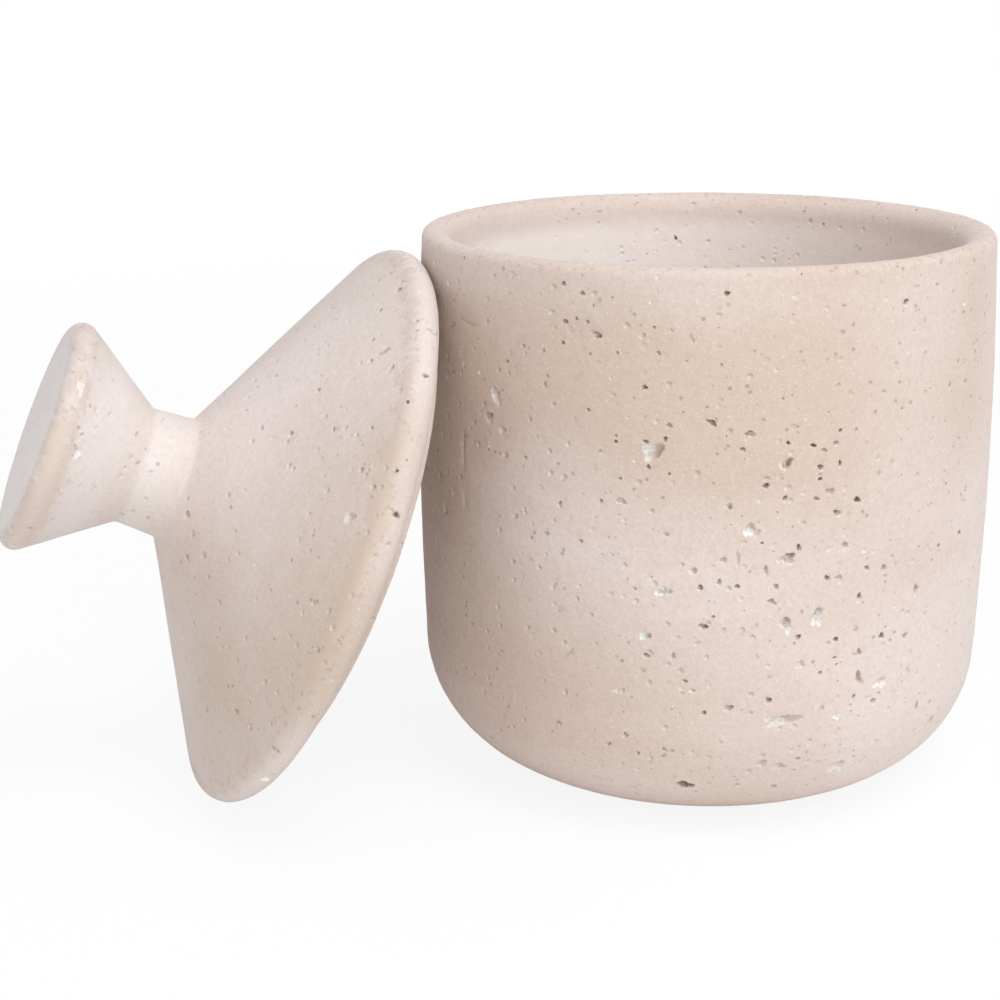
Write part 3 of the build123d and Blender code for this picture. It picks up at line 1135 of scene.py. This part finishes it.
# %% The clay
def clay(name, place, recipe):
    """The pitted body of one piece: its colour from broad to fine, its roughness and its skin."""
    material = bpy.data.materials.new(name)
    material.use_nodes = True
    f = Nodes(material.node_tree)
    at = f.node("Attribute", attribute_name="own").outputs["Vector"]
    sand = f.noise(at, 900.0, 2.0, 0.6)
    fleck = flecks(f, at)

    colour = patched(f, at, recipe)
    colour = grained(f, at, sand, colour)
    colour = f.mix(f.times(fleck, 0.45), colour, fleck_brown)
    colour, dimple_height = dimpled(f, at, place, colour)
    colour = worn_down(f, at, recipe, colour)
    colour = hole_coloured(f, at, colour)

    inputs = f.tree.nodes["Principled BSDF"].inputs
    f.give(inputs["Base Color"], colour)
    rough = f.less(f.ramp(sand, 0.3, 0.7, 0.72, 0.9), f.times(f.number("pale_and_painted_light"), 0.12))
    f.give(inputs["Roughness"], rough)
    f.give(inputs["Specular IOR Level"], 0.28)
    f.give(inputs["Sheen Weight"], 0.12)
    f.give(inputs["Sheen Roughness"], 0.5)
    f.give(inputs["Normal"], rough_skin(f, at, dimple_height, fleck))
    print(name, "has", len(f.tree.nodes), "nodes")
    return material


pot_clay = clay("pitted_pot_clay", upright, pot_recipe)
lid_clay = clay("pitted_lid_clay", lid_place, lid_recipe)

# %% Dressing the pieces
dressing = ((pot, pot_clay, "pot", "pot_body"), (lid, lid_clay, "lid", "lid_body"))
for piece, finish, body, slot in dressing:
    piece.data.materials.append(finish)
    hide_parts(body)
    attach(piece, body)
    print(piece.name, "rides on", body)

# %% [markdown]
# Floor, backdrop and light
#
# The object stands on a white floor in soft studio light, mainly from above, with a key at the
# right and a fill in front. Floor and world look white to the camera only, so they add no
# light, and the floor keeps the object's soft shadow.

# %% Floor and backdrop
white = (1, 1, 1, 1)
floor_reach = 6.0
contact_reach, clear_reach = 0.2, 0.9


def in_sight(f):
    """1 for what the camera sees straight or in a gloss, 0 for light that falls on things."""
    path = f.node("LightPath").outputs
    return f.math("MAXIMUM", path["Is Camera Ray"], path["Is Glossy Ray"])


floor_mesh = bpy.data.meshes.new("floor")
corners = [(x * floor_reach, y * floor_reach, 0) for x, y in ((-1, -1), (1, -1), (1, 1), (-1, 1))]
floor_mesh.from_pydata(corners, [], [(0, 1, 2, 3)])
floor = add_object("floor", floor_mesh)

paper = bpy.data.materials.new("white_paper")
paper.use_nodes = True
f = Nodes(paper.node_tree)
matt = f.tree.nodes["Principled BSDF"]
f.give(matt.inputs["Base Color"], (0.93, 0.93, 0.93, 1))
f.give(matt.inputs["Roughness"], 1.0)
f.give(matt.inputs["Specular IOR Level"], 0.0)
glow = f.node("Emission", {"Color": white, "Strength": 1.0})
ground = f.node("TexCoord").outputs["Object"]
away = f.node("VectorMath", {0: ground}, operation="LENGTH").outputs["Value"]
share = f.times(in_sight(f), f.ramp(away, contact_reach, clear_reach, 0.88, 1.0))
blend = f.node("MixShader", {0: share, 1: matt.outputs[0], 2: glow.outputs[0]})
f.give(f.tree.nodes["Material Output"].inputs["Surface"], blend.outputs[0])
floor_mesh.materials.append(paper)

world = bpy.data.worlds.new("studio")
bpy.context.scene.world = world
world.use_nodes = True
f = Nodes(world.node_tree)
room = f.tree.nodes["Background"]
f.give(room.inputs["Color"], (0.97, 0.99, 1.02, 1))
f.give(room.inputs["Strength"], 0.61)
backdrop = f.node("Background", {"Color": white, "Strength": 1.0})
blend = f.node("MixShader", {0: in_sight(f), 1: room.outputs[0], 2: backdrop.outputs[0]})
f.give(f.tree.nodes["World Output"].inputs["Surface"], blend.outputs[0])
print("floor and backdrop set")


# %% Lamps
def lamp(name, place, aim, size, power):
    """A square soft box at a place, turned to its aim."""
    light = bpy.data.lights.new(name, "AREA")
    light.shape = "SQUARE"
    light.size = size
    light.energy = power
    place, aim = Vector(place), Vector(aim)
    facing = (aim - place).to_track_quat("-Z", "Y").to_matrix().to_4x4()
    add_object(name, light).matrix_world = Matrix.Translation(place) @ facing


middle = (0, 0, 0.06)
lamp("key", key_place * MM, middle, 0.6, 2.2)
lamp("top", (0.3, -0.35, 1.15), middle, 0.5, 5.4)
lamp("fill", (0.0, -1.1, 0.4), middle, 0.5, 2.5)
print("lamps set")

# %% [markdown]
# The view
#
# Colours are shown with the standard view transform.

# %% The view transform
bpy.context.scene.view_settings.view_transform = "Standard"
